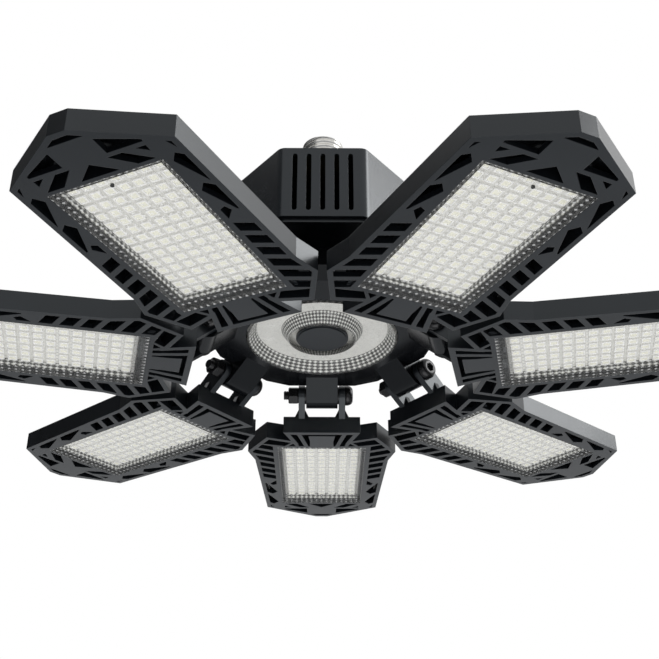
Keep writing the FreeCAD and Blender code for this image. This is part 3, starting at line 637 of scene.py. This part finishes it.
class LAMP_OT_wing_chips(bpy.types.Operator):
    """Set the light chips on the wings' boards"""
    bl_idname = "lamp.wing_chips"
    bl_label = "Light chips"

    def execute(self, context):
        tones = colours()
        body = lacquered_board("chip_body", tones.chip, shade(tones.chip, 0.95))
        filling = lacquered_board("chip_filling", tones.phosphor, shade(tones.phosphor, 0.94))
        for wing in WINGS:
            self.chips(wing, [body, filling])
        return {"FINISHED"}

    def chips(self, wing, finishes):
        """Rows of one chip: a square cup, drawn as square loops from its foot to its filling."""
        made = sizes()
        low, high = wing_box("board")
        rim = made.skirt + 0.9 * MM
        half = made.chip / 2
        floor = low[2] - made.chip_height
        profile = ((half, low[2]), (half, floor + 0.2 * MM), (half - 0.2 * MM, floor),
                   (half - 0.7 * MM, floor), (half - 0.9 * MM, floor + 0.35 * MM))
        corners = np.array([(-1, -1), (1, -1), (1, 1), (-1, 1)])
        chip = np.array([[(cx * r, cy * r, z) for cx, cy in corners] for r, z in profile])
        us = np.linspace(low[0] + rim + half, high[0] - rim - half, made.chip_columns)
        vs = np.linspace(low[1] + rim + half, high[1] - rim - half, made.chip_rows)
        build = Builder(wing + "_light_chips")
        azimuth = azimuth_of(wing)
        for u in us:
            for v in vs:
                placed = carried(chip + np.array([u, v, 0.0]), azimuth)
                build.grid(placed, 0, columns=True)
                build.add(placed[-1], [(0, 1, 2, 3)], 1)
                build.add(placed[0], [(0, 1, 2, 3)], 0)
        build.finish(finishes, wing, "white_board")


class LAMP_OT_ring_lens(bpy.types.Operator):
    """Make the round clear tray in the middle"""
    bl_idname = "lamp.ring_lens"
    bl_label = "Ring lens"

    def execute(self, context):
        """A closed profile carried round the axis; its leaning walls carry rows of prisms."""
        made = sizes()
        low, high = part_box("ring_lens")
        outer = high.x
        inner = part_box("centre_cap")[1].x + 3.1 * MM
        wall, draft, chamfer = 1.0 * MM, 4.6 * MM, 0.8 * MM
        z0, z1 = low.z, high.z
        turns = 2 * round(TAU * outer / made.prism_pitch)
        theta = np.arange(turns) * TAU / turns
        smooth = [(inner, z1), (inner, z0 + 0.4 * MM), (inner + 0.4 * MM, z0),
                  (inner + 2.5 * MM, z0), (outer - chamfer - 1.5 * MM, z0), (outer - chamfer, z0),
                  (outer, z0 + chamfer), (outer, z1), (outer - wall - draft, z1)]
        floor = z0 + wall
        span = math.hypot(draft, z1 - floor)
        rows = 2 * max(2, round(span / (made.wall_pitch * 1.1)))
        down = [(outer - wall - draft + draft * k / rows, z1 + (floor - z1) * k / rows)
                for k in range(rows + 1)]
        up = [(inner + wall + draft * k / rows, floor + (z1 - floor) * k / rows)
              for k in range(rows + 1)]
        finishes = [clear_face("ring_face"), clear_rim("ring_rim"), prism_wall("ring_wall")]
        build = Builder("ring_prism_lens")
        self.band(build, smooth, theta, 1)
        self.band(build, down, theta, 2, -made.wall_relief)
        self.band(build, [down[-1], up[0]], theta, 1)
        self.band(build, up, theta, 2, made.wall_relief)
        self.band(build, [up[-1], smooth[0]], theta, 1)
        build.finish(finishes, HUB, "clear_lens", ["ring_lens"])
        return {"FINISHED"}

    def band(self, build, profile, theta, finish, relief=0.0):
        r, z = np.array(profile).T
        row = np.arange(len(r))[:, None]
        turn = np.arange(len(theta))[None, :]
        ends = (row > 0) & (row < len(r) - 1)
        radius = r[:, None] + relief * ends * (tri(row / 2) + tri(turn / 2)) / 2
        grid = np.stack([radius * np.cos(theta), radius * np.sin(theta),
                         np.broadcast_to(z[:, None], radius.shape)], -1)
        marks = np.stack(np.broadcast_arrays(turn / 2, row / 2), -1)
        build.grid(grid, finish, finish != 2, marks, columns=True)


class LAMP_OT_screw_shell(bpy.types.Operator):
    """Make the screw shell with its rolled thread"""
    bl_idname = "lamp.screw_shell"
    bl_label = "Screw shell"

    def execute(self, context):
        """Radius less half the depth times one minus the cosine of height over pitch less turn."""
        made = sizes()
        low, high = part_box("screw_shell")
        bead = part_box("shell_insulator")[1].x
        radius = high.x
        shoulder = high.z - SHELL_SHOULDER
        theta = np.arange(96) * TAU / 96
        z = np.linspace(low.z, shoulder, 90)[:, None]
        rows = np.clip((z - low.z) / (1.5 * MM), 0, 1) * np.clip((shoulder - z) / (1.2 * MM), 0, 1)
        phase = TAU * z / made.thread_pitch - theta[None, :]
        r = radius - rows * made.thread_depth * (1 - np.cos(phase)) / 2
        outside = np.stack([r * np.cos(theta), r * np.sin(theta), np.broadcast_to(z, r.shape)], -1)
        wall = 0.3 * MM
        cone = [(radius, shoulder), (bead + 0.9 * MM, high.z - 0.3 * MM), (bead, high.z),
                (bead - wall * 3, high.z), (bead - wall * 3, high.z - wall)]
        inside = r[::-1] - wall
        build = Builder("threaded_shell")
        build.grid(outside, 0, True, columns=True)
        build.grid(self.turned(cone, theta), 0, True, columns=True)
        back = np.stack([inside * np.cos(theta), inside * np.sin(theta),
                         np.broadcast_to(z[::-1], r.shape)], -1)
        back[0, :, 2] -= wall
        build.grid(np.stack([self.turned([cone[-1]], theta)[0], back[0]]), 0, True, columns=True)
        build.grid(back, 0, True, columns=True)
        build.grid(np.stack([back[-1], outside[0]]), 0, False, columns=True)
        nickel = worked_metal("shell_nickel", colours().nickel, 0.22)
        build.finish([nickel], HUB, "nickel_shell", ["screw_shell"])
        return {"FINISHED"}

    @staticmethod
    def turned(profile, theta):
        r, z = np.array(profile).T
        shape = (len(r), len(theta))
        return np.stack([r[:, None] * np.cos(theta), r[:, None] * np.sin(theta),
                         np.broadcast_to(z[:, None], shape)], -1)


def across_the_hinge(profile, factor, theta):
    """Rows of a shape round the hinge bolt: each (v, radius) pair, its radius times the factor."""
    v, radius = np.array(profile).T[:, :, None]
    r = radius * factor
    return np.stack([r * np.cos(theta), np.broadcast_to(v, r.shape), r * np.sin(theta)], -1)


class LAMP_OT_hinge_bolts(bpy.types.Operator):
    """Make the domed hinge bolts with their sockets and threads"""
    bl_idname = "lamp.hinge_bolts"
    bl_label = "Hinge bolts"

    def execute(self, context):
        """A dome whose radius falls as a quarter ellipse, a round shank and a cut thread."""
        made = sizes()
        steel = worked_metal("bolt_steel", colours().steel, 0.20, metallic=0.5)
        head_v, tail_v = self.reach(frame["nodes"]["hinge_bolts"])
        theta = np.arange(48) * TAU / 48
        seat = head_v + BOLT_HEAD_HEIGHT
        rim, crown_r = 1.2 * MM, 3.4 * MM
        bend = np.linspace(0.0, math.pi / 2, 9)
        dome = np.column_stack([seat - rim - (BOLT_HEAD_HEIGHT - rim) * np.sin(bend),
                                crown_r + (BOLT_HEAD_R - crown_r) * np.cos(bend)])
        socket = [(head_v, SOCKET_R + 0.3 * MM), (head_v + 0.2 * MM, SOCKET_R),
                  (head_v + SOCKET_DEPTH, SOCKET_R)]
        thread_v = np.linspace(tail_v - 8.0 * MM, tail_v, 33)
        build = Builder("socket_hinge_bolts")
        hexagon = 1 / np.cos((theta + math.pi / 6) % (math.pi / 3) - math.pi / 6)
        circle = np.ones(len(theta))
        head = across_the_hinge([(seat, BOLT_R), (seat, BOLT_HEAD_R), *dome], circle, theta)
        drive = across_the_hinge(socket, hexagon, theta)
        shank = across_the_hinge([(seat, BOLT_R), (thread_v[0], BOLT_R)], circle, theta)
        v = thread_v[:, None]
        turns = TAU * v / made.bolt_pitch - theta[None, :]
        fade = np.clip(np.minimum(tail_v - v, v - thread_v[0]) / (0.8 * MM), 0, 1)
        taper = np.clip((v - tail_v + 0.6 * MM) / (0.6 * MM), 0, 1)
        r = BOLT_R - fade * made.bolt_depth * (1 - np.cos(turns)) / 2 - taper * 0.4 * MM
        thread = np.stack([r * np.cos(theta), np.broadcast_to(v, r.shape), r * np.sin(theta)], -1)
        for wing in WINGS:
            joint = joint_of(wing)
            centre = np.array([math.hypot(*joint["pos_m"][:2]), 0.0, joint["pos_m"][2]])
            azimuth = azimuth_of(wing)
            for rows, smooth in ((head, True), (drive, False), (shank, True), (thread, True)):
                build.grid(carried(rows + centre, azimuth), 0, smooth, columns=True)
            join = np.stack([head[-1], drive[0]])
            build.grid(carried(join + centre, azimuth), 0, False, columns=True)
            for rows in (drive[-1], thread[-1]):
                build.add(carried(rows + centre, azimuth), [tuple(range(len(theta)))], 0)
        build.finish([steel], HUB, "black_steel", ["hinge_bolts"])
        return {"FINISHED"}

    @staticmethod
    def reach(solid):
        """How far the first wing's bolt reaches across, from its head to its tail."""
        points = np.empty(len(solid.data.vertices) * 3)
        solid.data.vertices.foreach_get("co", points)
        points = points.reshape(-1, 3)
        x, y, _ = joint_of(WINGS[0])["pos_m"]
        near = points[np.hypot(points[:, 0] - x, points[:, 1] - y) < 30 * MM]
        return -near[:, 0].max(), -near[:, 0].min()


class LAMP_OT_hinge_nuts(bpy.types.Operator):
    """Make the hinge nuts with their chamfers"""
    bl_idname = "lamp.hinge_nuts"
    bl_label = "Hinge nuts"

    def execute(self, context):
        """The side is the smaller of a hexagon and a cone at each end."""
        steel = worked_metal("nut_steel", colours().steel, 0.24, metallic=0.5)
        head_v, tail_v = LAMP_OT_hinge_bolts.reach(frame["nodes"]["hinge_nuts"])
        count = 72
        theta = np.arange(count) * TAU / count
        hexagon = NUT_HALF / np.cos((theta + math.pi / 6) % (math.pi / 3) - math.pi / 6)
        build = Builder("chamfered_nuts")
        v = np.array([head_v, head_v, head_v + NUT_CHAMFER / 2, head_v + NUT_CHAMFER,
                      tail_v - NUT_CHAMFER, tail_v - NUT_CHAMFER / 2, tail_v, tail_v])[:, None]
        cone = NUT_HALF * (0.98 + 0.18 * np.array([0.0, 0.5, 1.0, 1.0, 0.5, 0.0]))[:, None]
        bore = np.full((1, count), BOLT_R + 0.02 * MM)
        r = np.concatenate([bore, np.minimum(hexagon, cone), bore])
        grid = np.stack([r * np.cos(theta), np.broadcast_to(v, r.shape), r * np.sin(theta)], -1)
        for wing in WINGS:
            joint = joint_of(wing)
            centre = np.array([math.hypot(*joint["pos_m"][:2]), 0.0, joint["pos_m"][2]])
            build.grid(carried(grid + centre, azimuth_of(wing)), 0, False, rows=True,
                       columns=True)
        build.finish([steel], HUB, "black_steel", ["hinge_nuts"])
        return {"FINISHED"}


class LAMP_OT_wing_screws(bpy.types.Operator):
    """Make the cross-head screws of the wing backs"""
    bl_idname = "lamp.wing_screws"
    bl_label = "Wing screws"

    def execute(self, context):
        plated = worked_metal("screw_zinc", colours().plated, 0.3)
        for wing in WINGS:
            self.screws(wing, plated)
        return {"FINISHED"}

    def screws(self, wing, finish):
        """A dome falling with the square of the radius, less a cross where either axis is near."""
        solid = frame["nodes"][WINGS[0] + "_screws"]
        points = np.empty(len(solid.data.vertices) * 3)
        solid.data.vertices.foreach_get("co", points)
        points = points.reshape(-1, 3)
        tops = points[points[:, 2] > points[:, 2].max() - 0.05 * MM]
        head_r, head_h, shank_r = 2.4 * MM, 1.4 * MM, 1.2 * MM
        apart = np.linalg.norm(tops[:, None, :2] - tops[None, :, :2], axis=2)
        screw = (apart < 3 * head_r).argmax(1)
        heads = [tops[screw == first] for first in np.unique(screw)]
        places = [((head.min(0) + head.max(0)) / 2)[:2] for head in heads]
        top, foot = points[:, 2].max(), points[:, 2].min()
        theta = np.arange(40) * TAU / 40
        radii = np.linspace(0.0, 1.0, 10)[1:] * head_r
        r = radii[:, None] * np.ones(40)
        x, y = r * np.cos(theta), r * np.sin(theta)
        dome = 0.55 * MM * (r / head_r) ** 2
        near_axis = np.minimum(np.abs(x), np.abs(y))
        cut = np.clip((0.42 * MM - near_axis) / (0.12 * MM), 0, 1)
        cut *= np.clip((1.45 * MM - r) / (0.2 * MM), 0, 1)
        z = top - dome - 0.7 * MM * cut
        head = np.stack([x, y, z], -1)
        side = [(head_r, top - head_h), (shank_r, top - head_h), (shank_r, foot + shank_r),
                (0.15 * MM, foot)]
        ring = LAMP_OT_screw_shell.turned(side, theta)
        build = Builder(wing + "_cross_screws")
        azimuth = azimuth_of(wing)
        for px, py in places:
            offset = np.array([py, -px, 0.0])
            rows = np.concatenate([head, ring])
            build.grid(carried(rows + offset, azimuth), 0, True, columns=True)
            build.add(carried(head[0] + offset, azimuth), [tuple(range(40))], 0)
            build.add(carried(ring[-1] + offset, azimuth), [tuple(range(40))], 0)
        build.finish([finish], wing, "plated_steel", [wing + "_screws"])


class LAMP_OT_stage(bpy.types.Operator):
    """Set up the floor, the light and the camera"""
    bl_idname = "lamp.stage"
    bl_label = "Studio"

    def execute(self, context):
        settings = context.scene.lamp_stage
        context.scene.view_settings.view_transform = "Standard"
        self.world(context, settings)
        self.floor(settings)
        self.card()
        self.lamp("key_lamp", settings.key, (1.9, -0.1, 0.95), 1.3)
        self.lamp("fill_lamp", settings.fill, (0.0, -0.3, -1.5), 1.6)
        self.camera(context, settings)
        return {"FINISHED"}

    def world(self, context, settings):
        world = bpy.data.worlds.new("studio")
        context.scene.world = world
        paint = Paint(world)
        camera = paint.node("ShaderNodeLightPath")
        seen = camera
        for name in ("Is Glossy Ray", "Is Transmission Ray"):
            seen = seen.math("MAXIMUM", camera.fellow(name))
        tone = paint.blend(seen, (0.93, 0.96, 1.0), (1.0, 1.0, 1.0))
        level = seen * (1.0 - settings.world) + settings.world
        paint.out(paint.node("ShaderNodeBackground", {}, {"Color": tone, "Strength": level}))

    def floor(self, settings):
        """A disc whose edge turns up as a quarter of a cosine."""
        theta = np.arange(96) * TAU / 96
        radii = np.linspace(0.02, 4.0, 40)
        rise = 0.5 * (1 - np.cos(np.clip((radii - 3.0) / 1.0, 0, 1) * math.pi)) * 0.25
        profile = list(zip(radii, settings.floor_z + rise))
        rows = LAMP_OT_screw_shell.turned(profile, theta)
        corners, quads = sheet(rows, close_columns=True)
        faces = quads.tolist() + [list(range(96))]
        self.backdrop("studio_floor", corners, faces, 0.80, 0.83, 0.30)

    def card(self):
        """A black board on the left, which the camera doesn't see: an arc of a cylinder wall."""
        turn = np.radians(np.linspace(125.0, 235.0, 24))
        height = np.linspace(-0.7, 1.3, 6)[:, None]
        rows = np.stack(np.broadcast_arrays(1.5 * np.cos(turn), 1.5 * np.sin(turn), height), -1)
        corners, quads = sheet(rows)
        card = self.backdrop("studio_card", corners, quads.tolist(), 0.05, 0.06, 0.0)
        card.visible_camera = False

    def backdrop(self, name, corners, faces, dark, light, glow):
        """A matt sheet of the stage, clouded from dark to light, lifted by glow in the camera."""
        mesh = bpy.data.meshes.new(name)
        mesh.from_pydata(corners.tolist(), [], faces)
        sheet_object = bpy.data.objects.new(name, mesh)
        bpy.context.scene.collection.objects.link(sheet_object)
        paint = new_paint(name)
        tone = paint.blend(paint.noise(3.0), (dark,) * 3, (light,) * 3)
        lift = paint.blend(paint.node("ShaderNodeLightPath"), (0.0,) * 3, (glow,) * 3)
        paint.surface({"Base Color": tone, "Roughness": 0.9, "Emission Color": lift,
                       "Emission Strength": 1.0})
        mesh.materials.append(paint.owner)
        return sheet_object

    def lamp(self, name, power, place, size):
        data = bpy.data.lights.new(name, "AREA")
        data.shape = "DISK"
        data.size = size
        data.energy = power
        lamp = bpy.data.objects.new(name, data)
        lamp.location = place
        aim = Vector((0.0, 0.0, -0.1)) - Vector(place)
        lamp.rotation_euler = aim.to_track_quat("-Z", "Y").to_euler()
        bpy.context.scene.collection.objects.link(lamp)

    def camera(self, context, settings):
        """Looks along +Y at the middle of the ring lens's face, from below."""
        target = Vector((0.0, 0.0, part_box("ring_lens")[0].z))
        e = settings.elevation
        back = Vector((0.0, -math.cos(e), math.sin(e)))
        data = bpy.data.cameras.new("view")
        data.lens = settings.lens
        data.sensor_width = 36.0
        data.shift_x = settings.shift_x
        data.shift_y = settings.shift_y
        data.clip_start = 0.01
        camera = bpy.data.objects.new("view", data)
        turn = (-back).to_track_quat("-Z", "Y").to_matrix().to_4x4()
        roll = Matrix.Rotation(settings.roll, 4, "Z")
        camera.matrix_world = Matrix.Translation(target + back * settings.distance) @ turn @ roll
        context.scene.collection.objects.link(camera)
        context.scene.camera = camera


class LAMP_PT_panel(bpy.types.Panel):
    """Lists the lamp's pieces"""
    bl_label = "Folding lamp"
    bl_idname = "LAMP_PT_panel"
    bl_space_type = "VIEW_3D"
    bl_region_type = "UI"
    bl_category = "Lamp"

    def draw(self, context):
        for step in STEPS:
            self.layout.operator(step.bl_idname)
        for group in (context.scene.lamp_sizes, context.scene.lamp_colours,
                      context.scene.lamp_stage):
            for name in group.bl_rna.properties.keys():
                if name not in ("rna_type", "name"):
                    self.layout.prop(group, name)


STEPS = (LAMP_OT_finishes, LAMP_OT_wing_lenses, LAMP_OT_wing_chips, LAMP_OT_ring_lens,
         LAMP_OT_screw_shell, LAMP_OT_hinge_bolts, LAMP_OT_hinge_nuts, LAMP_OT_wing_screws,
         LAMP_OT_stage)
CLASSES = (LampSizes, LampColours, StageSettings, *STEPS, LAMP_PT_panel)


def register():
    for made in CLASSES:
        bpy.utils.register_class(made)
    bpy.types.Scene.lamp_sizes = PointerProperty(type=LampSizes)
    bpy.types.Scene.lamp_colours = PointerProperty(type=LampColours)
    bpy.types.Scene.lamp_stage = PointerProperty(type=StageSettings)


def unregister():
    for name in ("lamp_sizes", "lamp_colours", "lamp_stage"):
        delattr(bpy.types.Scene, name)
    for made in reversed(CLASSES):
        bpy.utils.unregister_class(made)


def main():
    register()
    for step in STEPS:
        group, name = step.bl_idname.split(".")
        getattr(getattr(bpy.ops, group), name)()


if __name__ == "__main__":
    main()
